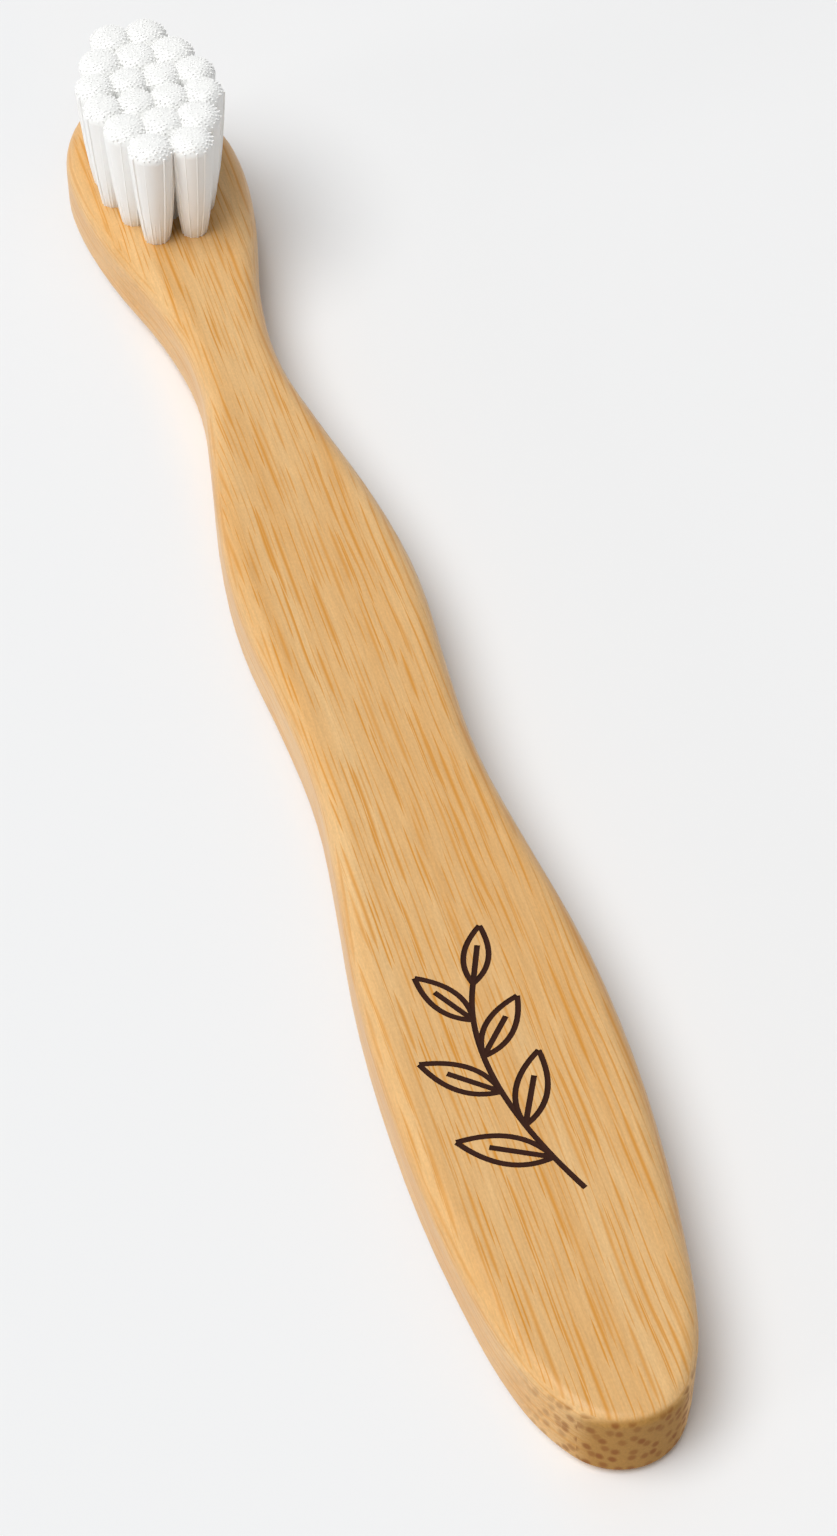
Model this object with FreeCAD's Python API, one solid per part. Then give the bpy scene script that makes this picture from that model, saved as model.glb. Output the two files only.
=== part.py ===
import FreeCAD, Part
import math
import os

# A child's manual toothbrush in bamboo, with nylon tufts stapled into its head.
# Millimetres. +X runs along the brush to the head, +Z is up through the tufts,
# and the flat back lies on Z = 0 with the origin under the middle of the handle.

# Handle: steps along its centre line from the butt to the tip
butt_to_heel = 1.0
heel_to_corner = 2.3
corner_to_shoulder = 5.5
shoulder_to_grip = 15.1
grip_to_flank = 13.7
flank_to_waist = 17.1
waist_to_swell = 14.9
swell_to_taper = 14.7
taper_to_neck = 10.9
neck_to_head = 22.5
head_to_crown = 7.0
crown_to_tip = 3.0

# Handle: full widths at those stations
heel_width = 5.7
corner_width = 9.0
shoulder_width = 12.4
grip_width = 15.6
flank_width = 14.6
waist_width = 11.1
swell_width = 13.2
taper_width = 8.9
neck_width = 6.4
head_width = 13.5
crown_width = 9.3

thickness = 5.9
# Rounding of the rim: crisp at the sawn butt, softer along the sides
butt_edge_radius = 0.8
side_edge_radius = 1.6
butt_edge_length = 12.0
# How far the ends of the centre line stand to the side of its middle
sweep = 1.0
# How far the butt stands back from that sweep, and over what length
butt_back = 0.4
butt_back_length = 12.0
# How closely the tangent arcs of the outline follow the curve through the stations
outline_tolerance = 0.15

# Tuft sockets: blind holes with wood left between them, in rows that follow a straight line
hole_depth = 3.4
rim_to_holes = 0.65
tip_to_holes = 5.3
web_between_rows = 0.8
web_in_far_row = 0.7
web_in_short_row = 0.8
web_in_full_row = 0.6
web_in_near_row = 1.1
tufts_in_end_row = 2
tufts_in_short_row = 3
tufts_in_full_row = 4
# How far the rows stand to the side of the head's centre line
field_shift = 0.55

# Tufts: bundles of filament, folded at the root and spreading to the trimmed tips
bristle_height = 9.5
root_clearance = 0.03
fold_chamfer = 0.4
bundle_sides = 10
straight_height = 1.0
splay = 1.08
tip_gap = 0.1
tip_chamfer = 0.2

# Anchors: flat wire staples that hold each folded tuft and bite into the wood
anchor_thickness = 0.25
anchor_height = 1.5
anchor_bite = 0.3
anchor_lift = 0.6
anchor_turn = 30.0
anchor_clearance = 0.02

stations = [
    (butt_to_heel, heel_width),
    (heel_to_corner, corner_width),
    (corner_to_shoulder, shoulder_width),
    (shoulder_to_grip, grip_width),
    (grip_to_flank, flank_width),
    (flank_to_waist, waist_width),
    (waist_to_swell, swell_width),
    (swell_to_taper, taper_width),
    (taper_to_neck, neck_width),
    (neck_to_head, head_width),
    (head_to_crown, crown_width),
]
length = sum(step for step, width in stations) + crown_to_tip
rows = [
    (tufts_in_end_row, web_in_far_row),
    (tufts_in_short_row, web_in_short_row),
    (tufts_in_full_row, web_in_full_row),
    (tufts_in_full_row, web_in_full_row),
    (tufts_in_short_row, web_in_short_row),
    (tufts_in_end_row, web_in_near_row),
]
# A full row shares the flat of the head, less a margin, between its holes and the webs
row_width = head_width - 2 * (side_edge_radius + rim_to_holes)
hole_diameter = (row_width - (tufts_in_full_row - 1) * web_in_full_row) / tufts_in_full_row
row_pitch = hole_diameter + web_between_rows
first_row = length - tip_to_holes - hole_diameter / 2
field_middle = first_row - row_pitch * (len(rows) - 1) / 2
root_radius = hole_diameter / 2 - root_clearance
anchor_bottom = thickness - hole_depth + anchor_lift
anchor_top = anchor_bottom + anchor_height
up = FreeCAD.Vector(0, 0, 1)


def centre_line(x):
    """Sideways place of the centre line at a distance from the butt."""
    back = max(0, 1 - x / butt_back_length)
    return sweep * (2 * x / length - 1) ** 2 - butt_back * back ** 2


field_side = centre_line(field_middle) + field_shift


def side_points(side):
    """Points of the outline along one side, from the butt to the head."""
    points = []
    x = 0
    for step, width in stations:
        x += step
        points.append(FreeCAD.Vector(x, centre_line(x) + side * width / 2, 0))
    return points


def edge_radius(corner):
    """Rounding of the rim at a corner of the outline."""
    along = min(1, max(0, corner.X) / butt_edge_length)
    return butt_edge_radius + (side_edge_radius - butt_edge_radius) * along


def blank():
    """The handle without its sockets: a flat board with softly rounded edges."""
    butt = FreeCAD.Vector(0, centre_line(0), 0)
    tip = FreeCAD.Vector(length, centre_line(length), 0)
    curve = Part.BSplineCurve()
    curve.interpolate(
        Points=[butt] + side_points(-1) + [tip] + side_points(1)[::-1],
        PeriodicFlag=True,
    )
    arcs = [arc.toShape() for arc in curve.toBiArcs(outline_tolerance)]
    document = FreeCAD.newDocument("toothbrush")
    board = document.addObject("Part::Feature", "board")
    board.Shape = Part.Face(Part.Wire(Part.__sortEdges__(arcs))).extrude(up * thickness)
    rims = []
    for number, edge in enumerate(board.Shape.Edges, 1):
        if edge.BoundBox.ZLength < thickness / 2:
            rims.append((number, edge_radius(edge.Vertexes[0]), edge_radius(edge.Vertexes[-1])))
    rounded = document.addObject("Part::Fillet", "rounded")
    rounded.Base = board
    rounded.Edges = rims
    document.recompute()
    return rounded.Shape


def tuft_places():
    """Row, column, middle of the hole and pitch across for every tuft."""
    places = []
    for row, (count, web) in enumerate(rows):
        x = first_row - row * row_pitch
        pitch = hole_diameter + web
        for column in range(count):
            y = field_side + (column - (count - 1) / 2) * pitch
            places.append((row + 1, column + 1, FreeCAD.Vector(x, y, thickness), pitch))
    return places


def anchor_bar(place, slack, top):
    """An upright strip across a hole, from the anchor's lower edge up to a height."""
    width = hole_diameter + 2 * anchor_bite + 2 * slack
    depth = anchor_thickness + 2 * slack
    bottom = anchor_bottom - slack
    corner = FreeCAD.Vector(place.x - width / 2, place.y - depth / 2, bottom)
    bar = Part.makeBox(width, depth, top - bottom, corner)
    bar.rotate(place, up, anchor_turn)
    return bar


def anchor(place):
    return anchor_bar(place, 0, anchor_top)


def socket(place):
    """A blind hole and the slit in its wall that the ends of the anchor bite into."""
    floor = FreeCAD.Vector(place.x, place.y, thickness - hole_depth)
    hole = Part.makeCylinder(hole_diameter / 2, hole_depth, floor)
    slit = anchor_bar(place, anchor_clearance, anchor_top + anchor_clearance)
    return hole.fuse(slit)


def ring(place, height, radius):
    """Corners of a level section of a tuft, its middle moved out as the field spreads."""
    spread = max(0, height - straight_height) / (bristle_height - straight_height)
    grow = (splay - 1) * spread
    x = place.x + (place.x - field_middle) * grow
    y = place.y + (place.y - field_side) * grow
    corners = []
    for side in range(bundle_sides):
        angle = 2 * math.pi * side / bundle_sides
        out = FreeCAD.Vector(math.cos(angle), math.sin(angle), 0) * radius
        corners.append(FreeCAD.Vector(x, y, thickness + height) + out)
    return corners


def flat_face(corners):
    return Part.Face(Part.makePolygon(corners + corners[:1]))


def tuft(place, pitch):
    """A bundle of filament: a root folded round its anchor, spreading to trimmed tips."""
    bottom = root_clearance - hole_depth
    tip_radius = (min(pitch, row_pitch) * splay - tip_gap) / 2
    rings = [
        ring(place, bottom, root_radius - fold_chamfer),
        ring(place, bottom + fold_chamfer, root_radius),
        ring(place, straight_height, root_radius),
        ring(place, bristle_height - tip_chamfer, tip_radius),
        ring(place, bristle_height, tip_radius - tip_chamfer),
    ]
    faces = [flat_face(rings[0]), flat_face(rings[-1])]
    for low, high in zip(rings, rings[1:]):
        for side in range(bundle_sides):
            faces.append(flat_face([low[side - 1], low[side], high[side], high[side - 1]]))
    bundle = Part.Solid(Part.Shell(faces))
    passage = anchor_bar(place, anchor_clearance, anchor_top + anchor_clearance)
    return bundle.cut(passage)


places = tuft_places()
pieces = {"handle": blank().cut([socket(place) for row, column, place, pitch in places])}
for row, column, place, pitch in places:
    pieces["tuft_row%d_%d" % (row, column)] = tuft(place, pitch)
pieces["anchors"] = Part.makeCompound([anchor(place) for row, column, place, pitch in places])

# The origin lies under the middle of the handle's box.
middle = pieces["handle"].optimalBoundingBox(False).Center
os.makedirs("parts", exist_ok=True)
for name, piece in pieces.items():
    piece.translate(FreeCAD.Vector(-middle.x, -middle.y, 0))
    piece.exportStep("parts/%s.step" % name)
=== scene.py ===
"""Looks of a child's bamboo toothbrush: engraved wood, nylon bristles, brass anchors and a studio stage."""

import math

import bmesh
import bpy
from bpy.props import FloatProperty, FloatVectorProperty, IntProperty, PointerProperty
from bpy.types import Node, NodeSocket, Operator, Panel, PropertyGroup
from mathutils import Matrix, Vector


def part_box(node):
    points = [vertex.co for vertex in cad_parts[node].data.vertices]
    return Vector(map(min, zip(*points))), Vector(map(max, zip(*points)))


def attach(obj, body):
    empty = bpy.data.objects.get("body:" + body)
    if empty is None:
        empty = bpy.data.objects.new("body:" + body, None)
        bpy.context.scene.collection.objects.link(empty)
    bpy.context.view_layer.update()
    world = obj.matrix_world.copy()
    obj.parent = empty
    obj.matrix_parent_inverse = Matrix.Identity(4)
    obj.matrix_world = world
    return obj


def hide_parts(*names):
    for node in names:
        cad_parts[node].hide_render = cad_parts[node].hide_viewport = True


bl_info = {
    "name": "Bamboo Toothbrush",
    "version": (1, 0, 0),
    "blender": (4, 5, 0),
    "location": "3D View > Sidebar > Toothbrush",
    "description": "Dresses the packed model of a child's bamboo toothbrush",
    "category": "Object",
}

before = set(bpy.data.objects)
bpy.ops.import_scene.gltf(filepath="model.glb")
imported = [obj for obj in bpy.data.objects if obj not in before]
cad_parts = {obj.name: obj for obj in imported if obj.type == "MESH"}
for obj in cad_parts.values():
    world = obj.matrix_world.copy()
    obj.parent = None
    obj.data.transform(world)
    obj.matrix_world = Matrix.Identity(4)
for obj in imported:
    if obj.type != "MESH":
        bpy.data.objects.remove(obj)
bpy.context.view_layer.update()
face_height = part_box("handle")[1].z

mm = 0.001
golden_angle = math.pi * (3 - math.sqrt(5))

# Points of the handle's CAD mesh that lie closer than this are one point
weld_distance = 0.001 * mm
# Edges of the handle that turn by more than this are shaded as creases, degrees
crease_angle = 38
# How many times as tall as wide a dot of the end grain is
dot_height = 1.25

# Point that the edges of a leaf bend towards, and end of its midrib, as shares of its length
leaf_belly = 0.42
leaf_rib = 0.66
# Size of the last leaf as a share of a full one
last_leaf = 0.75

# Chamfers of a CAD tuft at its folded root and at its tips
fold_chamfer = 0.4 * mm
tip_chamfer = 0.2 * mm
# Corners of a CAD tuft that are this close to a height lie at it
ring_tolerance = 0.01 * mm
# How far the filaments are drawn down into their sockets
filament_root = 1.2 * mm
# Rings along a filament, and the power by which they crowd towards its tip
filament_rings = 7
tip_crowding = 1.8
# Power by which a tuft spreads with height: below 1 it spreads most near the head
flare = 0.5
# Share of its length at which a filament starts to narrow, and the thickness left at its tip
narrowing_start = 0.86
narrowed_tip = 0.85
# First of the seeds from which the sway of the filaments is drawn
sway_seeds = 100.0
# Height and radius of a tuft's core, as shares of the tuft's own
core_height = 0.985
core_radius = 1.02
# Turn of the anchors in their sockets, degrees
anchor_turn = 30

# Radius of the floor in metres, and its sides
floor_reach = 0.7
floor_sides = 96
# Distances from the middle of the brush over which the floor passes into the plain background
far_start = 150 * mm
far_end = 650 * mm
# Distances to the left of that middle over which the lit side of the floor begins
lit_start = 2 * mm
lit_end = 8 * mm
# Light at the horizon as a share of the light straight above
horizon_share = 0.45
# Width of the camera's sensor in millimetres, and the nearest place that it shows
sensor_width = 36
nearest_view = 10 * mm


def linear(hex_colour):
    """Turns an sRGB hex value such as #D8A562 to linear red, green and blue."""
    channels = [int(hex_colour[start:start + 2], 16) / 255 for start in (1, 3, 5)]
    return tuple(c / 12.92 if c <= 0.04045 else ((c + 0.055) / 1.055) ** 2.4 for c in channels)


# Settings that a user would change

def colour_setting(name, description, hex_colour):
    return FloatVectorProperty(
        name=name, description=description, subtype="COLOR", size=3, min=0, max=1, default=linear(hex_colour))


def length_setting(name, description, default, least=0.0):
    return FloatProperty(
        name=name, description=description, unit="LENGTH", precision=5, min=least, default=default)


def place_setting(name, description, default):
    return FloatVectorProperty(
        name=name, description=description, subtype="TRANSLATION", size=3, default=default)


class WoodLook(PropertyGroup):
    """Colours and grain of the bamboo."""
    pale: colour_setting("Pale Wood", "Lighter bands of the bamboo", "#E3BA82")
    honey: colour_setting("Honey Wood", "Darker bands of the bamboo", "#D9A768")
    fibre: colour_setting("Fibre", "Fibre bundles cut lengthwise, seen as dashes", "#D0891F")
    # The colour of the sawn end is darker end grain with painted shade added to it
    end_grain_and_shade: colour_setting("End Grain", "Wood of the sawn end", "#B08242")
    dot: colour_setting("End Grain Dot", "Fibre bundles cut across, seen as dots", "#8E5624")
    dash_width: length_setting(
        "Dash Width", "Width of a fibre bundle that is cut lengthwise", 0.44 * mm, least=0.05 * mm)
    dash_spacing: length_setting(
        "Dash Spacing", "Distance between the lanes of dashes", 0.8 * mm, least=0.1 * mm)
    dash_length: length_setting("Dash Length", "Usual length of a dash", 8.5 * mm, least=1 * mm)
    dot_width: length_setting("Dot Width", "Width of a dot of the end grain", 0.7 * mm, least=0.05 * mm)
    dot_spacing: length_setting(
        "Dot Spacing", "Distance between dots of the end grain", 0.74 * mm, least=0.1 * mm)


class EngravingSizes(PropertyGroup):
    """The leafy twig burnt into the grip."""
    line_width: length_setting("Line Width", "Width of the burnt groove", 0.38 * mm, least=0.05 * mm)
    line_depth: length_setting("Line Depth", "Depth of the burnt groove", 0.1 * mm, least=0.02 * mm)
    stem_start: place_setting("Stem Start", "Cut end of the twig", (-48.0 * mm, -1.5 * mm, face_height))
    stem_bend: place_setting(
        "Stem Bend", "Point that the twig bends towards", (-38.0 * mm, 3.2 * mm, face_height))
    stem_end: place_setting("Stem End", "Foot of the last leaf", (-31.5 * mm, 0.4 * mm, face_height))
    leaves: IntProperty(
        name="Leaves", description="Places for leaves along the twig, of which its cut end stays bare",
        min=2, default=7)
    leaf_length: length_setting("Leaf Length", "Length of a full leaf", 6.2 * mm, least=1 * mm)
    leaf_width: length_setting("Leaf Width", "Width of a full leaf", 2.1 * mm, least=0.5 * mm)
    leaf_angle: FloatProperty(
        name="Leaf Angle", description="Angle between the twig and its side leaves",
        subtype="ANGLE", default=math.radians(42))
    char: colour_setting("Char", "Colour of the burnt groove", "#34180B")


class BristleSizes(PropertyGroup):
    """The nylon filaments of every tuft."""
    filaments: IntProperty(
        name="Filaments", description="Filament ends in one tuft", min=8, max=200, default=140)
    thickness: length_setting("Thickness", "Diameter of one filament", 0.2 * mm, least=0.05 * mm)
    bend_height: length_setting(
        "Bend Height", "Height above the head at which the filaments start to spread", 0.1 * mm)
    trim: length_setting("Trim", "How unevenly the tips were cut", 0.05 * mm)
    dome: length_setting(
        "Dome", "How much lower the tips at the edge of a tuft are than its middle", 0.7 * mm)
    sway: length_setting("Sway", "How far a tip strays sideways", 0.06 * mm)
    mingle: FloatProperty(
        name="Mingle", description="Spread of the tips as a share of the room that a tuft has",
        min=0.5, max=1.5, default=1.3)
    nylon: colour_setting("Nylon", "Colour of the filaments", "#FDFDFB")


class StageLook(PropertyGroup):
    """Floor, lamps, sky and camera."""
    floor: colour_setting("Floor", "Colour of the floor", "#F2F2F2")
    key_power: FloatProperty(
        name="Key Lamp", description="Power of the large soft lamp above", unit="POWER", min=0, default=134)
    key_size: length_setting("Key Size", "Width of the large soft lamp", 3.4)
    key_place: place_setting("Key Place", "Middle of the large soft lamp", (-0.3, 1.66, 3.62))
    fill_power: FloatProperty(
        name="Fill Lamp", description="Power of the low lamp on the left", unit="POWER", min=0, default=7)
    fill_size: length_setting("Fill Size", "Width of the low lamp", 0.6)
    fill_place: place_setting("Fill Place", "Middle of the low lamp", (-0.6, 2.3, 0.38))
    sky: FloatProperty(
        name="Sky", description="Strength of the even light straight above", min=0, default=0.46)
    sky_colour: colour_setting("Sky Colour", "Colour of the even light and the plain background", "#F1F2F3")
    lens: FloatProperty(
        name="Lens", description="Focal length of the camera", unit="CAMERA", min=10, default=77.34)
    distance: FloatProperty(
        name="Distance", description="Camera to the point that it looks at",
        unit="LENGTH", min=0.05, default=226.09 * mm)
    pitch: FloatProperty(
        name="Pitch", description="How far down the camera looks",
        subtype="ANGLE", default=math.radians(48.74))
    heading: FloatProperty(
        name="Heading", description="Turn of the view from the brush's long axis",
        subtype="ANGLE", default=math.radians(-16.56))
    target: place_setting("Target", "Point that the camera looks at", (-8.37 * mm, -2.92 * mm, 0))


class ToothbrushSettings(PropertyGroup):
    """All settings of the toothbrush."""
    wood: PointerProperty(type=WoodLook)
    engraving: PointerProperty(type=EngravingSizes)
    bristles: PointerProperty(type=BristleSizes)
    stage: PointerProperty(type=StageLook)


# Helpers

def feed(tree, node, values):
    """Sets or links a node's inputs by name or number. A node as a value gives its first output in use."""
    for key, value in values.items():
        if isinstance(value, Node):
            value = next(socket for socket in value.outputs if socket.enabled)
        if isinstance(value, NodeSocket):
            tree.links.new(value, node.inputs[key])
        else:
            node.inputs[key].default_value = value


def add(tree, kind, values=None, **settings):
    """Adds a node, sets its properties and feeds its inputs."""
    node = tree.nodes.new(kind)
    for name, setting in settings.items():
        setattr(node, name, setting)
    feed(tree, node, values or {})
    return node


def new_material(name):
    """A material with its node tree and its shader."""
    material = bpy.data.materials.new(name)
    material.use_nodes = True
    return material, material.node_tree, material.node_tree.nodes["Principled BSDF"]


def opaque(colour):
    return tuple(colour) + (1.0,)


def new_piece(name, mesh):
    """Puts a mesh into the scene as an object at the origin."""
    piece = bpy.data.objects.new(name, mesh)
    bpy.context.scene.collection.objects.link(piece)
    return piece


def baked(piece, name):
    """Turns an object with modifiers into a plain mesh object, and removes the first one."""
    graph = bpy.context.evaluated_depsgraph_get()
    mesh = bpy.data.meshes.new_from_object(piece.evaluated_get(graph))
    bpy.data.objects.remove(piece)
    mesh.name = name
    return new_piece(name, mesh)


def new_tree(name, inputs):
    """Starts a Geometry Nodes tree with named inputs and a mesh as its output."""
    tree = bpy.data.node_groups.new(name, "GeometryNodeTree")
    for label, kind in inputs.items():
        tree.interface.new_socket(label, in_out="INPUT", socket_type=kind)
    tree.interface.new_socket("Mesh", in_out="OUTPUT", socket_type="NodeSocketGeometry")
    return tree


def grown(tree, name, values):
    """Runs a Geometry Nodes tree with the given inputs and returns its plain mesh object."""
    seed = new_piece(name + "_seed", bpy.data.meshes.new(name + "_seed"))
    modifier = seed.modifiers.new(tree.name, "NODES")
    modifier.node_group = tree
    labels = {item.name: item.identifier for item in tree.interface.items_tree if item.in_out == "INPUT"}
    for label, value in values.items():
        modifier[labels[label]] = value
    return baked(seed, name)


# Materials

def uneven_grain(tree, place, sizes, detail=2.0, roughness=0.5):
    """Cloudy pattern whose grains have the given sizes along X, Y and Z."""
    scaled = add(tree, "ShaderNodeMapping", {"Vector": place, "Scale": [1 / size for size in sizes]})
    return add(tree, "ShaderNodeTexNoise", {
        "Vector": scaled, "Scale": 1.0, "Detail": detail, "Roughness": roughness})


def fibre_lines(tree, along, across, spacing, width, length, shift):
    """Strength of fibre bundles cut lengthwise: lanes of dashes that taper at both ends."""
    lane = add(tree, "ShaderNodeMath", {0: across, 1: 1 / spacing, 2: shift}, operation="MULTIPLY_ADD")
    lanes = add(tree, "ShaderNodeTexVoronoi", {"W": lane, "Scale": 1.0}, voronoi_dimensions="1D").outputs
    chance = add(tree, "ShaderNodeSeparateColor", {"Color": lanes["Color"]}).outputs
    # A course that differs from lane to lane says where its dashes begin and end
    farthest_start = 90.0
    start = add(tree, "ShaderNodeMath", {0: chance["Red"], 1: farthest_start}, operation="MULTIPLY")
    run = add(tree, "ShaderNodeMath", {0: along, 1: 1 / length, 2: start}, operation="MULTIPLY_ADD")
    course = add(tree, "ShaderNodeTexNoise", {"W": run, "Scale": 1.0, "Detail": 1.0}, noise_dimensions="1D")
    presence = add(tree, "ShaderNodeMapRange", {
        "Value": course, "From Min": 0.38, "From Max": 0.66}, interpolation_type="SMOOTHSTEP")
    half = add(tree, "ShaderNodeMath", {0: presence, 1: 0.5 * width / spacing}, operation="MULTIPLY")
    mask = add(tree, "ShaderNodeMapRange", {
        "Value": lanes["Distance"], "From Min": half, "From Max": 0.0}, interpolation_type="SMOOTHSTEP")
    strength = add(tree, "ShaderNodeMapRange", {"Value": chance["Green"], "To Min": 0.45, "To Max": 1.0})
    return add(tree, "ShaderNodeMath", {0: mask, 1: strength}, operation="MULTIPLY")


def fibre_dashes(tree, axes, upward, look):
    """Strength of dashes from bundles of two sizes, in lanes across the top or up the walls."""
    on_top = add(tree, "ShaderNodeMath", {0: upward, 1: 0.7}, operation="GREATER_THAN")
    across = add(tree, "ShaderNodeMix", {0: on_top, 2: axes["Z"], 3: axes["Y"]})
    coarse = fibre_lines(
        tree, axes["X"], across, look.dash_spacing, look.dash_width, look.dash_length, shift=0.0)
    # Finer bundles lie closer together and give thinner, shorter dashes
    fine = fibre_lines(
        tree, axes["X"], across,
        0.7 * look.dash_spacing, 0.5 * look.dash_width, 0.7 * look.dash_length, shift=7.3)
    lines = add(tree, "ShaderNodeMath", {0: coarse, 1: fine}, operation="MAXIMUM")
    # The walls cut the bundles at a slant and show less of them
    depth = add(tree, "ShaderNodeMapRange", {
        "Value": upward, "From Min": 0.6, "From Max": 0.95, "To Min": 0.55, "To Max": 1.0})
    return add(tree, "ShaderNodeMath", {0: lines, 1: depth}, operation="MULTIPLY")


def end_grain_dots(tree, axes, endward, upward, look):
    """Strength of fibre bundles cut across: one soft dot of uneven depth in every cell, below the rim."""
    # The walls are unrolled to a plane
    head_on = add(tree, "ShaderNodeMath", {0: endward, 1: 0.65}, operation="GREATER_THAN")
    aside = add(tree, "ShaderNodeMix", {0: head_on, 2: axes["X"], 3: axes["Y"]})
    above = add(tree, "ShaderNodeMath", {0: axes["Z"], 1: 1 / dot_height}, operation="MULTIPLY")
    unrolled = add(tree, "ShaderNodeCombineXYZ", {"X": aside, "Y": above})
    cells = add(tree, "ShaderNodeTexVoronoi", {
        "Vector": unrolled, "Scale": 1 / look.dot_spacing, "Randomness": 0.85,
    }, voronoi_dimensions="2D").outputs
    edge = 0.5 * look.dot_width / look.dot_spacing
    mask = add(tree, "ShaderNodeMapRange", {
        "Value": cells["Distance"], "From Min": edge, "From Max": 0.3 * edge,
    }, interpolation_type="SMOOTHSTEP")
    chance = add(tree, "ShaderNodeSeparateColor", {"Color": cells["Color"]}).outputs
    strength = add(tree, "ShaderNodeMapRange", {"Value": chance["Red"], "To Min": 0.5, "To Max": 1.0})
    shown = add(tree, "ShaderNodeMath", {0: mask, 1: strength}, operation="MULTIPLY")
    below_rim = add(tree, "ShaderNodeMapRange", {
        "Value": upward, "From Min": 0.75, "From Max": 0.4}, interpolation_type="SMOOTHSTEP")
    return add(tree, "ShaderNodeMath", {0: shown, 1: below_rim}, operation="MULTIPLY")


def wandering_places(tree, where):
    """Places in the wood, moved sideways by a few tenths of a millimetre, so that the grain wanders."""
    drift = uneven_grain(tree, where, (14 * mm, 4 * mm, 4 * mm), detail=1.0)
    return add(tree, "ShaderNodeVectorMath", {
        0: drift.outputs["Color"], 1: (0, 0.5 * mm, 0.5 * mm), 2: where}, operation="MULTIPLY_ADD")


def banded_wood(tree, place, look):
    """Colour of bands about two millimetres wide and many times as long."""
    bands = uneven_grain(tree, place, (45 * mm, 1.8 * mm, 2.2 * mm), detail=3.0, roughness=0.55)
    band = add(tree, "ShaderNodeMapRange", {"Value": bands, "From Min": 0.3, "From Max": 0.7})
    return add(tree, "ShaderNodeMix", {
        0: band, 6: opaque(look.honey), 7: opaque(look.pale)}, data_type="RGBA")


def fine_shade(tree, hair, where):
    """Light and dark of the fine fibre, and of pores that are seen as fine speckle."""
    pores = uneven_grain(tree, where, (0.24 * mm, 0.12 * mm, 0.12 * mm), detail=1.0)
    hair_shade = add(tree, "ShaderNodeMapRange", {
        "Value": hair, "From Min": 0.3, "From Max": 0.7, "To Min": 0.93, "To Max": 1.06})
    pore_shade = add(tree, "ShaderNodeMapRange", {
        "Value": pores, "From Min": 0.3, "From Max": 0.7, "To Min": 0.95, "To Max": 1.04})
    return add(tree, "ShaderNodeMath", {0: hair_shade, 1: pore_shade}, operation="MULTIPLY")


def sanded_bamboo(look):
    """Bamboo, sawn lengthwise, sanded and oiled.

    Honey bands along the grain carry thin orange dashes where fibre bundles were cut lengthwise.
    The sawn end is duller and, with painted shade, darker, with brown dots of bundles cut across. The oil
    leaves a soft satin.
    """
    material, tree, shader = new_material("sanded bamboo")
    where = add(tree, "ShaderNodeTexCoord").outputs
    normal = add(tree, "ShaderNodeSeparateXYZ", {"Vector": where["Normal"]}).outputs
    upward = add(tree, "ShaderNodeMath", {0: normal["Z"]}, operation="ABSOLUTE")
    endward = add(tree, "ShaderNodeMath", {0: normal["X"]}, operation="ABSOLUTE")
    place = wandering_places(tree, where["Object"])
    axes = add(tree, "ShaderNodeSeparateXYZ", {"Vector": place}).outputs
    # Fine fibre is drawn twice as coarse as it is so that it shows
    hair = uneven_grain(tree, place, (3 * mm, 0.16 * mm, 0.16 * mm), roughness=0.6)
    shade = fine_shade(tree, hair, where["Object"])
    ground = add(tree, "ShaderNodeVectorMath", {
        0: banded_wood(tree, place, look), "Scale": shade}, operation="SCALE")
    dashes = fibre_dashes(tree, axes, upward, look)
    dashed = add(tree, "ShaderNodeMix", {0: dashes, 6: ground, 7: opaque(look.fibre)}, data_type="RGBA")
    # Oil and painted shade darken the sawn end, and its dots fade out further round the sides
    # The end colour is partly end grain and partly painted shade
    ends = add(tree, "ShaderNodeVectorMath", {0: tuple(look.end_grain_and_shade), "Scale": shade}, operation="SCALE")
    end_grain_shade_on = add(tree, "ShaderNodeMapRange", {
        "Value": endward, "From Min": 0.46, "From Max": 0.84}, interpolation_type="SMOOTHSTEP")
    sawn = add(tree, "ShaderNodeMix", {0: end_grain_shade_on, 6: dashed, 7: ends}, data_type="RGBA")
    dot_on = add(tree, "ShaderNodeMapRange", {
        "Value": endward, "From Min": 0.15, "From Max": 0.8}, interpolation_type="SMOOTHSTEP")
    bundles = end_grain_dots(tree, axes, endward, upward, look)
    dots = add(tree, "ShaderNodeMath", {0: bundles, 1: dot_on}, operation="MULTIPLY")
    colour = add(tree, "ShaderNodeMix", {0: dots, 6: sawn, 7: opaque(look.dot)}, data_type="RGBA")
    # Satin, a little rougher where fibre is open, and dull on the sawn end
    gloss = add(tree, "ShaderNodeMapRange", {
        "Value": hair, "From Min": 0.3, "From Max": 0.7, "To Min": 0.3, "To Max": 0.42})
    rough = add(tree, "ShaderNodeMix", {0: dot_on, 2: gloss, 3: 0.75})
    relief = add(tree, "ShaderNodeMath", {0: hair, 1: dashes}, operation="SUBTRACT")
    bump = add(tree, "ShaderNodeBump", {"Strength": 0.3, "Distance": 0.02 * mm, "Height": relief})
    feed(tree, shader, {
        "Base Color": colour, "Roughness": rough, "Normal": bump, "IOR": 1.5, "Specular IOR Level": 0.26})
    return material


def scorched_bamboo(char):
    """Bamboo burnt by an engraving laser: matt, almost black brown, uneven along the line."""
    material, tree, shader = new_material("scorched bamboo")
    where = add(tree, "ShaderNodeTexCoord").outputs
    soot = uneven_grain(tree, where["Object"], (1.2 * mm, 0.3 * mm, 0.3 * mm), detail=3.0)
    colour = add(tree, "ShaderNodeMix", {
        0: soot, 6: opaque(0.6 * Vector(char)), 7: opaque(1.3 * Vector(char))}, data_type="RGBA")
    bump = add(tree, "ShaderNodeBump", {"Strength": 0.4, "Distance": 0.02 * mm, "Height": soot})
    feed(tree, shader, {"Base Color": colour, "Normal": bump, "Roughness": 0.8, "Specular IOR Level": 0.2})
    return material


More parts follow.
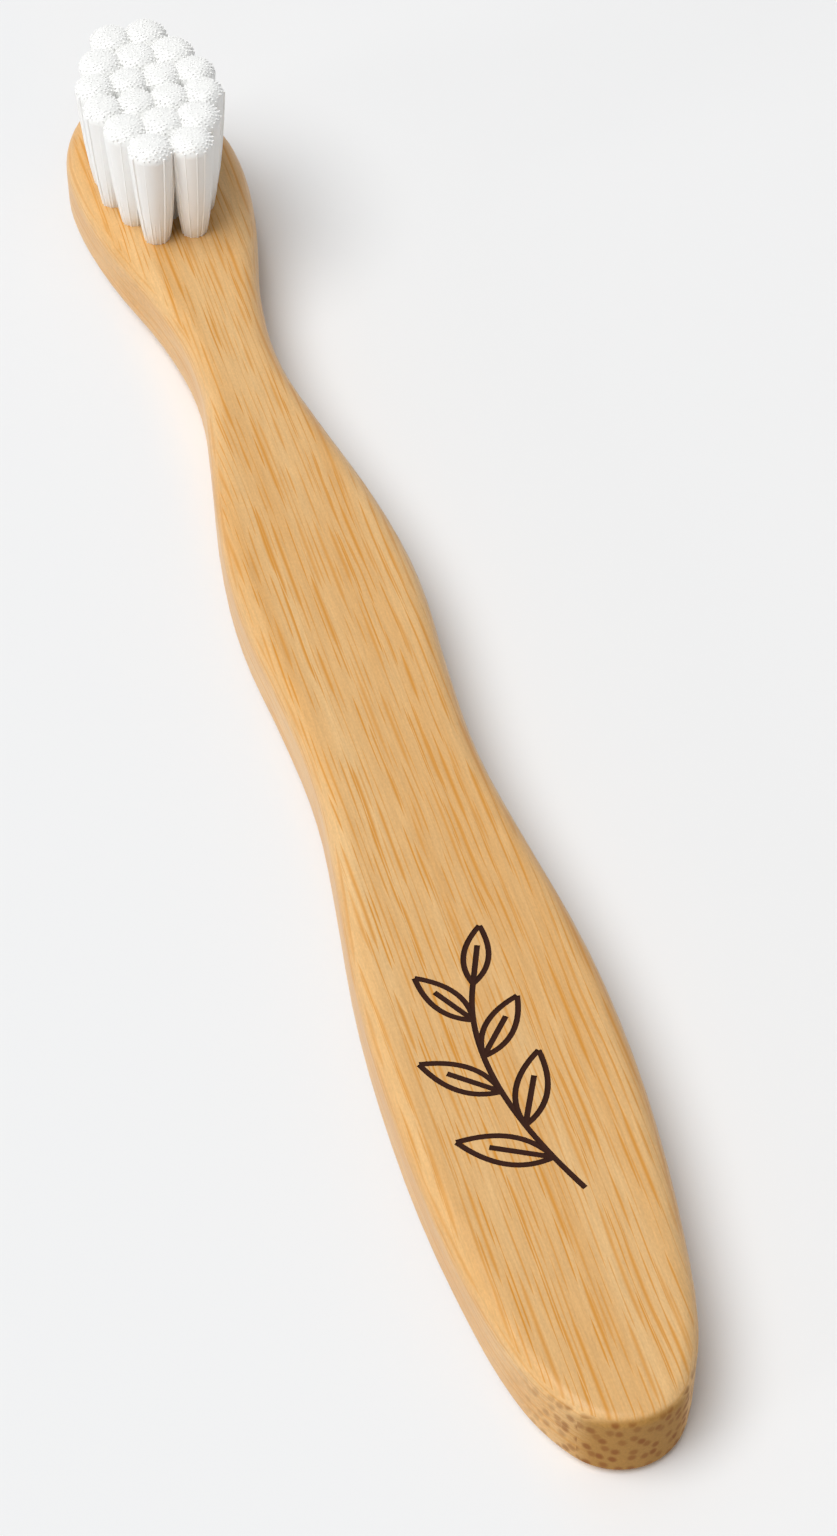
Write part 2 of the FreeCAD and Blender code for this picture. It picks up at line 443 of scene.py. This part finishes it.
def nylon_filament(nylon):
    """Nylon drawn to fine filament: milky white and smooth, with a soft gloss that wavers along it."""
    material, tree, shader = new_material("nylon filament")
    shade = add(tree, "ShaderNodeAttribute", attribute_name="filament_shade").outputs["Fac"]
    colour = add(tree, "ShaderNodeMix", {
        0: shade, 6: opaque(0.95 * Vector(nylon)), 7: opaque(nylon)}, data_type="RGBA")
    where = add(tree, "ShaderNodeTexCoord").outputs
    haze = uneven_grain(tree, where["Object"], (0.4 * mm, 0.4 * mm, 4 * mm))
    gloss = add(tree, "ShaderNodeMapRange", {
        "Value": haze, "From Min": 0.3, "From Max": 0.7, "To Min": 0.3, "To Max": 0.45})
    feed(tree, shader, {"Base Color": colour, "Roughness": gloss, "IOR": 1.53})
    return material


def rolled_brass():
    """Flat brass wire, rolled: warm yellow metal with fine lines."""
    material, tree, shader = new_material("rolled brass")
    where = add(tree, "ShaderNodeTexCoord").outputs
    turned = add(tree, "ShaderNodeMapping", {
        "Vector": where["Object"], "Rotation": (0, 0, -math.radians(anchor_turn)),
        "Scale": (1 / (1.5 * mm), 1 / (0.08 * mm), 1 / (0.08 * mm))})
    lines = add(tree, "ShaderNodeTexNoise", {"Vector": turned, "Scale": 1.0, "Detail": 2.0})
    colour = add(tree, "ShaderNodeMix", {
        0: lines, 6: opaque(linear("#B08A3E")), 7: opaque(linear("#DDBB6A"))}, data_type="RGBA")
    gloss = add(tree, "ShaderNodeMapRange", {"Value": lines, "To Min": 0.22, "To Max": 0.42})
    feed(tree, shader, {"Base Color": colour, "Roughness": gloss, "Metallic": 1.0})
    return material


def seen_rays(tree):
    """1 for rays that show the background: straight to the camera, mirrored or through something clear."""
    ray = add(tree, "ShaderNodeLightPath").outputs
    direct = add(tree, "ShaderNodeMath", {
        0: ray["Is Camera Ray"], 1: ray["Is Glossy Ray"]}, operation="MAXIMUM")
    return add(tree, "ShaderNodeMath", {0: direct, 1: ray["Is Transmission Ray"]}, operation="MAXIMUM")


def studio_paper(colour, sky_colour):
    """Matt background paper: even and pale, with a hint of tooth, and one with the backdrop far away."""
    material, tree, shader = new_material("studio paper")
    where = add(tree, "ShaderNodeTexCoord").outputs
    tooth = uneven_grain(tree, where["Object"], (1 * mm, 1 * mm, 1 * mm))
    bump = add(tree, "ShaderNodeBump", {"Strength": 0.05, "Distance": 0.02 * mm, "Height": tooth})
    feed(tree, shader, {
        "Base Color": opaque(colour), "Normal": bump, "Roughness": 0.95, "Specular IOR Level": 0.1})
    away = add(tree, "ShaderNodeVectorMath", {0: where["Object"]}, operation="LENGTH")
    far = add(tree, "ShaderNodeMapRange", {
        "Value": away, "From Min": far_start, "From Max": far_end}, interpolation_type="SMOOTHSTEP")
    # The side towards the lamps has no shadow to show, and is kept clear of warm light from the wood
    axes = add(tree, "ShaderNodeSeparateXYZ", {"Vector": where["Object"]}).outputs
    lit_side = add(tree, "ShaderNodeMapRange", {
        "Value": axes["Y"], "From Min": lit_start, "From Max": lit_end, "To Max": 0.7,
    }, interpolation_type="SMOOTHSTEP")
    clear = add(tree, "ShaderNodeMath", {0: far, 1: lit_side}, operation="MAXIMUM")
    plain = add(tree, "ShaderNodeMath", {0: clear, 1: seen_rays(tree)}, operation="MULTIPLY")
    backdrop = add(tree, "ShaderNodeEmission", {"Color": opaque(sky_colour), "Strength": 1.0})
    paper = add(tree, "ShaderNodeMixShader", {0: plain, 1: shader, 2: backdrop})
    feed(tree, tree.nodes["Material Output"], {"Surface": paper})
    return material


# Shapes

def merged_copy(node, name):
    """A copy of a CAD node with its loose triangles joined."""
    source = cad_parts[node].data
    mesh = bpy.data.meshes.new(name)
    mesh.from_pydata([v.co for v in source.vertices], [], [list(p.vertices) for p in source.polygons])
    shape = bmesh.new()
    shape.from_mesh(mesh)
    bmesh.ops.remove_doubles(shape, verts=shape.verts, dist=weld_distance)
    shape.to_mesh(mesh)
    shape.free()
    return new_piece(name, mesh)


def level_ring(node, height):
    """Middle and radius of a tuft's corners that lie at a height."""
    corners = [v.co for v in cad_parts[node].data.vertices if abs(v.co.z - height) < ring_tolerance]
    middle = sum(corners, Vector()) / len(corners)
    return middle, max((corner - middle).length for corner in corners)


def leaf_lines(tree, length, width):
    """One leaf along X with its foot at the origin: two edges and a midrib."""
    belly = add(tree, "ShaderNodeMath", {0: length, 1: leaf_belly}, operation="MULTIPLY")
    tip = add(tree, "ShaderNodeCombineXYZ", {"X": length})
    leaf = add(tree, "GeometryNodeJoinGeometry")
    for side in (1.0, -1.0):
        reach = add(tree, "ShaderNodeMath", {0: width, 1: side}, operation="MULTIPLY")
        bulge = add(tree, "ShaderNodeCombineXYZ", {"X": belly, "Y": reach})
        edge = add(tree, "GeometryNodeCurveQuadraticBezier", {
            "Resolution": 16, "Start": (0, 0, 0), "Middle": bulge, "End": tip})
        feed(tree, leaf, {"Geometry": edge})
    rib_length = add(tree, "ShaderNodeMath", {0: length, 1: leaf_rib}, operation="MULTIPLY")
    rib_end = add(tree, "ShaderNodeCombineXYZ", {"X": rib_length})
    rib = add(tree, "GeometryNodeCurvePrimitiveLine", {"Start": (0, 0, 0), "End": rib_end})
    feed(tree, leaf, {"Geometry": rib})
    return leaf


def leaf_turn(tree, tangent, index, last, leaf_angle):
    """Rotation of a leaf: every other one turns to the other side, and the last one goes straight on."""
    odd = add(tree, "ShaderNodeMath", {0: index, 1: 2.0}, operation="MODULO")
    side = add(tree, "ShaderNodeMapRange", {"Value": odd, "To Min": -1.0, "To Max": 1.0})
    lean = add(tree, "ShaderNodeMath", {0: side, 1: leaf_angle}, operation="MULTIPLY")
    before_last = add(tree, "ShaderNodeMath", {0: index, 1: last}, operation="LESS_THAN")
    turn = add(tree, "ShaderNodeMath", {0: lean, 1: before_last}, operation="MULTIPLY")
    along = add(tree, "ShaderNodeSeparateXYZ", {"Vector": tangent}).outputs
    course = add(tree, "ShaderNodeMath", {0: along["Y"], 1: along["X"]}, operation="ARCTAN2")
    angle = add(tree, "ShaderNodeMath", {0: course, 1: turn}, operation="ADD")
    euler = add(tree, "ShaderNodeCombineXYZ", {"Z": angle})
    return add(tree, "FunctionNodeEulerToRotation", {"Euler": euler})


def twig_tree():
    """Tree that sweeps a round cutter along a twig: a stem with leaves set on it by turns."""
    tree = new_tree("leafy twig cutter", {
        "Start": "NodeSocketVector", "Bend": "NodeSocketVector", "End": "NodeSocketVector",
        "Leaves": "NodeSocketInt", "Leaf Length": "NodeSocketFloat", "Leaf Width": "NodeSocketFloat",
        "Leaf Angle": "NodeSocketFloat", "Cutter Radius": "NodeSocketFloat", "Cutter Lift": "NodeSocketFloat",
        "Material": "NodeSocketMaterial"})
    given = add(tree, "NodeGroupInput").outputs
    stem = add(tree, "GeometryNodeCurveQuadraticBezier", {
        "Resolution": 28, "Start": given["Start"], "Middle": given["Bend"], "End": given["End"]})
    # Leaves stand above the cut end and grow smaller towards the last one
    feet = add(tree, "GeometryNodeCurveToPoints", {"Curve": stem, "Count": given["Leaves"]})
    index = add(tree, "GeometryNodeInputIndex")
    last = add(tree, "ShaderNodeMath", {0: given["Leaves"], 1: 1.0}, operation="SUBTRACT")
    above_first = add(tree, "ShaderNodeMath", {0: index, 1: 0.5}, operation="GREATER_THAN")
    share = add(tree, "ShaderNodeMath", {0: index, 1: last}, operation="DIVIDE")
    size = add(tree, "ShaderNodeMapRange", {"Value": share, "To Min": 1.0, "To Max": last_leaf})
    leaf = leaf_lines(tree, given["Leaf Length"], given["Leaf Width"])
    rotation = leaf_turn(tree, feet.outputs["Tangent"], index, last, given["Leaf Angle"])
    leaves = add(tree, "GeometryNodeInstanceOnPoints", {
        "Points": feet, "Selection": above_first, "Instance": leaf, "Rotation": rotation, "Scale": size})
    lines = add(tree, "GeometryNodeJoinGeometry")
    for line in (leaves, stem):
        feed(tree, lines, {"Geometry": line})
    drawn = add(tree, "GeometryNodeRealizeInstances", {"Geometry": lines})
    bit = add(tree, "GeometryNodeCurvePrimitiveCircle", {"Resolution": 10, "Radius": given["Cutter Radius"]})
    swept = add(tree, "GeometryNodeCurveToMesh", {"Curve": drawn, "Profile Curve": bit, "Fill Caps": True})
    lift = add(tree, "ShaderNodeCombineXYZ", {"Z": given["Cutter Lift"]})
    raised = add(tree, "GeometryNodeSetPosition", {"Geometry": swept, "Offset": lift})
    burnt = add(tree, "GeometryNodeSetMaterial", {"Geometry": raised, "Material": given["Material"]})
    add(tree, "NodeGroupOutput", {"Mesh": burnt})
    return tree


def unit_filaments(tree, count):
    """Upright filaments of height 1, packed like sunflower seeds in a disc of radius 1."""
    index = add(tree, "GeometryNodeInputIndex")
    later = add(tree, "ShaderNodeMath", {0: index, 1: 0.5}, operation="ADD")
    share = add(tree, "ShaderNodeMath", {0: later, 1: count}, operation="DIVIDE")
    reach = add(tree, "ShaderNodeMath", {0: share}, operation="SQRT")
    angle = add(tree, "ShaderNodeMath", {0: index, 1: golden_angle}, operation="MULTIPLY")
    cosine = add(tree, "ShaderNodeMath", {0: angle}, operation="COSINE")
    sine = add(tree, "ShaderNodeMath", {0: angle}, operation="SINE")
    ray = add(tree, "ShaderNodeCombineXYZ", {"X": cosine, "Y": sine})
    seat = add(tree, "ShaderNodeVectorMath", {0: ray, "Scale": reach}, operation="SCALE")
    seats = add(tree, "GeometryNodePoints", {"Count": count, "Position": seat})
    line = add(tree, "GeometryNodeCurvePrimitiveLine", {"Start": (0, 0, 0), "End": (0, 0, 1)})
    ringed = add(tree, "GeometryNodeResampleCurve", {"Curve": line, "Count": filament_rings})
    planted = add(tree, "GeometryNodeInstanceOnPoints", {"Points": seats, "Instance": ringed})
    return add(tree, "GeometryNodeRealizeInstances", {"Geometry": planted})


def unit_core(tree):
    """The inner filaments, which no eye can part, as one block that ends just below height 1."""
    block = add(tree, "GeometryNodeMeshCylinder", {
        "Vertices": 16, "Side Segments": 7, "Fill Segments": 6, "Radius": core_radius, "Depth": core_height})
    return add(tree, "GeometryNodeTransform", {"Geometry": block, "Translation": (0, 0, core_height / 2)})


def at_height(tree, point, height):
    """A point moved straight up or down to a height."""
    axes = add(tree, "ShaderNodeSeparateXYZ", {"Vector": point}).outputs
    return add(tree, "ShaderNodeCombineXYZ", {"X": axes["X"], "Y": axes["Y"], "Z": height})


def domed_top(tree, flat, tip_height, dome, trim):
    """Height at which the core of a tuft ends: lower towards the edge, and below the longest tips."""
    edge = add(tree, "ShaderNodeVectorMath", {0: flat, 1: flat}, operation="DOT_PRODUCT")
    round_off = add(tree, "ShaderNodeMath", {0: edge, 1: 2.0}, operation="POWER")
    drop = add(tree, "ShaderNodeMath", {0: round_off, 1: dome, 2: trim}, operation="MULTIPLY_ADD")
    return add(tree, "ShaderNodeMath", {0: tip_height, 1: drop}, operation="SUBTRACT")


def spread_points(tree, given, flat, spread):
    """Points of the unit tuft, moved to where the tuft stands and as far out as it has spread."""
    radius = add(tree, "ShaderNodeMix", {0: spread, 2: given["Foot Radius"], 3: given["Tip Radius"]})
    middle = add(tree, "ShaderNodeMix", {0: spread, 4: given["Foot"], 5: given["Tip"]}, data_type="VECTOR")
    aside = add(tree, "ShaderNodeVectorMath", {0: flat, "Scale": radius}, operation="SCALE")
    return add(tree, "ShaderNodeVectorMath", {0: middle, 1: aside}, operation="ADD")


def drawn_filaments(tree, given, shade, unit_height, place):
    """Filaments as six-sided wires that narrow at their tips, with their shade stored on them."""
    shaded = add(tree, "GeometryNodeStoreNamedAttribute", {
        "Geometry": unit_filaments(tree, given["Filaments"]), "Name": "filament_shade", "Value": shade})
    # The radius is taken before the points move, while their height still runs from 0 to 1
    narrowed = add(tree, "ShaderNodeMapRange", {
        "Value": unit_height, "From Min": narrowing_start, "From Max": 1.0,
        "To Min": 1.0, "To Max": narrowed_tip})
    tapered = add(tree, "GeometryNodeSetCurveRadius", {"Curve": shaded, "Radius": narrowed})
    set_out = add(tree, "GeometryNodeSetPosition", {"Geometry": tapered, "Position": place})
    half = add(tree, "ShaderNodeMath", {0: given["Thickness"], 1: 0.5}, operation="MULTIPLY")
    outline = add(tree, "GeometryNodeCurvePrimitiveCircle", {"Resolution": 6, "Radius": half})
    taper = add(tree, "GeometryNodeInputRadius")
    return add(tree, "GeometryNodeCurveToMesh", {
        "Curve": set_out, "Profile Curve": outline, "Scale": taper, "Fill Caps": True})


def tuft_tree():
    """Tree that grows one tuft: filaments around a core, spreading to trimmed tips."""
    tree = new_tree("nylon tuft", {
        "Filaments": "NodeSocketInt", "Thickness": "NodeSocketFloat",
        "Foot": "NodeSocketVector", "Foot Radius": "NodeSocketFloat", "Bend Height": "NodeSocketFloat",
        "Tip": "NodeSocketVector", "Tip Radius": "NodeSocketFloat",
        "Trim": "NodeSocketFloat", "Dome": "NodeSocketFloat", "Sway": "NodeSocketFloat",
        "Seed": "NodeSocketInt", "Material": "NodeSocketMaterial"})
    given = add(tree, "NodeGroupInput").outputs
    foot_height = add(tree, "ShaderNodeSeparateXYZ", {"Vector": given["Foot"]}).outputs["Z"]
    tip_height = add(tree, "ShaderNodeSeparateXYZ", {"Vector": given["Tip"]}).outputs["Z"]
    # Every filament has its own length, sway and shade
    curve = add(tree, "GeometryNodeCurveOfPoint").outputs["Curve Index"]
    short = add(tree, "FunctionNodeRandomValue", {"ID": curve, "Seed": given["Seed"]}, data_type="FLOAT")
    sway_seed = add(tree, "ShaderNodeMath", {0: given["Seed"], 1: sway_seeds}, operation="ADD")
    stray = add(tree, "FunctionNodeRandomValue", {
        0: (-1, -1, 0), 1: (1, 1, 0), "ID": curve, "Seed": sway_seed}, data_type="FLOAT_VECTOR")
    # A point at (u, v, t) of the unit tuft goes to its height and to its place at that height
    position = add(tree, "GeometryNodeInputPosition")
    flat = at_height(tree, position, 0.0)
    unit_height = add(tree, "ShaderNodeSeparateXYZ", {"Vector": position}).outputs["Z"]
    left_over = add(tree, "ShaderNodeMath", {0: 1.0, 1: unit_height}, operation="SUBTRACT")
    eased = add(tree, "ShaderNodeMath", {0: left_over, 1: tip_crowding}, operation="POWER")
    climb = add(tree, "ShaderNodeMath", {0: 1.0, 1: eased}, operation="SUBTRACT")
    domed = domed_top(tree, flat, tip_height, given["Dome"], given["Trim"])
    trimmed = add(tree, "ShaderNodeMath", {0: short, 1: given["Trim"], 2: domed}, operation="MULTIPLY_ADD")
    height = add(tree, "ShaderNodeMapRange", {"Value": climb, "To Min": foot_height, "To Max": trimmed})
    bend = add(tree, "ShaderNodeMapRange", {
        "Value": height, "From Min": given["Bend Height"], "From Max": tip_height})
    spread = add(tree, "ShaderNodeMath", {0: bend, 1: flare}, operation="POWER")
    moved = spread_points(tree, given, flat, spread)
    sway = add(tree, "ShaderNodeMath", {0: spread, 1: given["Sway"]}, operation="MULTIPLY")
    strayed = add(tree, "ShaderNodeVectorMath", {0: stray, "Scale": sway}, operation="SCALE")
    settled = add(tree, "ShaderNodeVectorMath", {0: moved, 1: strayed}, operation="ADD")
    filaments = drawn_filaments(tree, given, short, unit_height, at_height(tree, settled, height))
    # The core keeps out of the uneven trim and sway
    level = add(tree, "ShaderNodeMapRange", {"Value": climb, "To Min": foot_height, "To Max": domed})
    core = add(tree, "GeometryNodeSetPosition", {
        "Geometry": unit_core(tree), "Position": at_height(tree, moved, level)})
    smooth_core = add(tree, "GeometryNodeSetShadeSmooth", {"Geometry": core})
    bundle = add(tree, "GeometryNodeJoinGeometry")
    for part in (filaments, smooth_core):
        feed(tree, bundle, {"Geometry": part})
    finished = add(tree, "GeometryNodeSetMaterial", {"Geometry": bundle, "Material": given["Material"]})
    add(tree, "NodeGroupOutput", {"Mesh": finished})
    return tree


# Operators

class TOOTHBRUSH_OT_handle(Operator):
    """Copies the handle, engraves the twig and gives it its bamboo"""
    bl_idname = "toothbrush.handle"
    bl_label = "Bamboo Handle"

    def execute(self, context):
        settings = context.scene.toothbrush
        cuts = settings.engraving
        # A round cutter that leaves a groove of the wanted width and depth
        radius = (cuts.line_width ** 2 / 4 + cuts.line_depth ** 2) / (2 * cuts.line_depth)
        cutter = grown(twig_tree(), "twig_cutter", {
            "Start": cuts.stem_start, "Bend": cuts.stem_bend, "End": cuts.stem_end,
            "Leaves": cuts.leaves, "Leaf Length": cuts.leaf_length, "Leaf Width": cuts.leaf_width,
            "Leaf Angle": cuts.leaf_angle, "Cutter Radius": radius, "Cutter Lift": radius - cuts.line_depth,
            "Material": scorched_bamboo(cuts.char)})
        board = merged_copy("handle", "bamboo_board")
        board.data.materials.append(sanded_bamboo(settings.wood))
        groove = board.modifiers.new("groove", "BOOLEAN")
        groove.object = cutter
        groove.solver = "EXACT"
        groove.use_self = True
        groove.material_mode = "TRANSFER"
        handle = baked(board, "bamboo_handle")
        bpy.data.objects.remove(cutter)
        handle.data.shade_smooth()
        handle.data.set_sharp_from_angle(angle=math.radians(crease_angle))
        shading = handle.modifiers.new("flat faces lead the shading", "WEIGHTED_NORMAL")
        shading.keep_sharp = True
        handle = baked(handle, "bamboo_handle")
        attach(handle, "root")
        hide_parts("handle")
        return {"FINISHED"}


class TOOTHBRUSH_OT_bristles(Operator):
    """Grows a bundle of nylon filaments in place of every tuft"""
    bl_idname = "toothbrush.bristles"
    bl_label = "Nylon Bristles"

    def execute(self, context):
        sizes = context.scene.toothbrush.bristles
        nylon = nylon_filament(sizes.nylon)
        tree = tuft_tree()
        tufts = sorted(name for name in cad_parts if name.startswith("tuft_"))
        if not tufts:
            raise RuntimeError("the frame holds no tufts")
        for seed, node in enumerate(tufts):
            low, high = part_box(node)
            tip, tip_radius = level_ring(node, high.z - tip_chamfer)
            foot, foot_radius = level_ring(node, low.z + fold_chamfer)
            bundle = grown(tree, node.replace("tuft", "bristles"), {
                "Filaments": sizes.filaments, "Thickness": sizes.thickness,
                "Foot": (foot.x, foot.y, face_height - filament_root),
                "Foot Radius": foot_radius - sizes.thickness / 2,
                "Bend Height": face_height + sizes.bend_height,
                "Tip": (tip.x, tip.y, high.z), "Tip Radius": sizes.mingle * tip_radius,
                "Trim": sizes.trim, "Dome": sizes.dome, "Sway": sizes.sway,
                "Seed": seed, "Material": nylon})
            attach(bundle, "root")
            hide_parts(node)
        return {"FINISHED"}


class TOOTHBRUSH_OT_anchors(Operator):
    """Gives the anchors their brass"""
    bl_idname = "toothbrush.anchors"
    bl_label = "Brass Anchors"

    def execute(self, context):
        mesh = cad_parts["anchors"].data
        brass = rolled_brass()
        for place in range(len(mesh.materials)):
            mesh.materials[place] = brass
        return {"FINISHED"}


class TOOTHBRUSH_OT_stage(Operator):
    """Sets the floor, the lamps, the sky and the camera"""
    bl_idname = "toothbrush.stage"
    bl_label = "Studio Stage"

    def execute(self, context):
        look = context.scene.toothbrush.stage
        self.lay_floor(look)
        # A large soft lamp above and to the left of the brush, and a low one that lights its left side
        self.hang_lamp(context.scene, "key", look.key_power, look.key_size, look.key_place)
        self.hang_lamp(context.scene, "fill", look.fill_power, look.fill_size, look.fill_place)
        self.light_sky(context.scene, look)
        self.aim_camera(context.scene, look)
        context.scene.view_settings.view_transform = "Standard"
        return {"FINISHED"}

    def lay_floor(self, look):
        """A round sheet of paper under the brush."""
        paper = bpy.data.meshes.new("floor")
        turns = [2 * math.pi * side / floor_sides for side in range(floor_sides)]
        rim = [(floor_reach * math.cos(turn), floor_reach * math.sin(turn), 0) for turn in turns]
        paper.from_pydata(rim, [], [range(floor_sides)])
        paper.materials.append(studio_paper(look.floor, look.sky_colour))
        new_piece("floor", paper)

    def hang_lamp(self, scene, name, power, size, place):
        """A round soft lamp that points at the brush."""
        lamp = bpy.data.lights.new(name, "AREA")
        lamp.energy = power
        lamp.shape = "DISK"
        lamp.size = size
        holder = bpy.data.objects.new(name, lamp)
        holder.location = place
        holder.rotation_euler = (-holder.location).to_track_quat("-Z", "Y").to_euler()
        scene.collection.objects.link(holder)

    def light_sky(self, scene, look):
        """Light that fades from the zenith to the horizon, before a background that is plain and bright."""
        world = bpy.data.worlds.new("studio")
        world.use_nodes = True
        scene.world = world
        tree = world.node_tree
        where = add(tree, "ShaderNodeTexCoord").outputs
        aim = add(tree, "ShaderNodeSeparateXYZ", {"Vector": where["Generated"]}).outputs
        glow = add(tree, "ShaderNodeMapRange", {
            "Value": aim["Z"], "To Min": horizon_share * look.sky, "To Max": look.sky})
        strength = add(tree, "ShaderNodeMix", {0: seen_rays(tree), 2: glow, 3: 1.0})
        feed(tree, tree.nodes["Background"], {"Color": opaque(look.sky_colour), "Strength": strength})

    def aim_camera(self, scene, look):
        """A camera at a distance from its target, turned by heading and pitch."""
        camera = bpy.data.objects.new("camera", bpy.data.cameras.new("camera"))
        camera.data.lens = look.lens
        camera.data.sensor_width = sensor_width
        camera.data.clip_start = nearest_view
        level = math.cos(look.pitch)
        sight = Vector((
            level * math.cos(look.heading), level * math.sin(look.heading), -math.sin(look.pitch)))
        camera.location = Vector(look.target) - look.distance * sight
        camera.rotation_euler = sight.to_track_quat("-Z", "Y").to_euler()
        scene.collection.objects.link(camera)
        scene.camera = camera


class TOOTHBRUSH_PT_panel(Panel):
    """Lists the pieces of the toothbrush and their settings"""
    bl_idname = "TOOTHBRUSH_PT_panel"
    bl_label = "Toothbrush"
    bl_space_type = "VIEW_3D"
    bl_region_type = "UI"
    bl_category = "Toothbrush"

    def draw(self, context):
        settings = context.scene.toothbrush
        rows = (
            ("toothbrush.handle", (settings.wood, settings.engraving)),
            ("toothbrush.bristles", (settings.bristles,)),
            ("toothbrush.anchors", ()),
            ("toothbrush.stage", (settings.stage,)),
        )
        for operator, groups in rows:
            box = self.layout.box()
            box.operator(operator)
            for group in groups:
                for name in group.__annotations__:
                    box.prop(group, name)


classes = (
    WoodLook, EngravingSizes, BristleSizes, StageLook, ToothbrushSettings,
    TOOTHBRUSH_OT_handle, TOOTHBRUSH_OT_bristles, TOOTHBRUSH_OT_anchors, TOOTHBRUSH_OT_stage,
    TOOTHBRUSH_PT_panel,
)


def register():
    for cls in classes:
        bpy.utils.register_class(cls)
    bpy.types.Scene.toothbrush = PointerProperty(type=ToothbrushSettings)


def unregister():
    del bpy.types.Scene.toothbrush
    for cls in reversed(classes):
        bpy.utils.unregister_class(cls)


def main():
    """Builds every piece and the stage."""
    register()
    bpy.ops.toothbrush.stage()
    bpy.ops.toothbrush.handle()
    bpy.ops.toothbrush.bristles()
    bpy.ops.toothbrush.anchors()


if __name__ == "__main__":
    main()
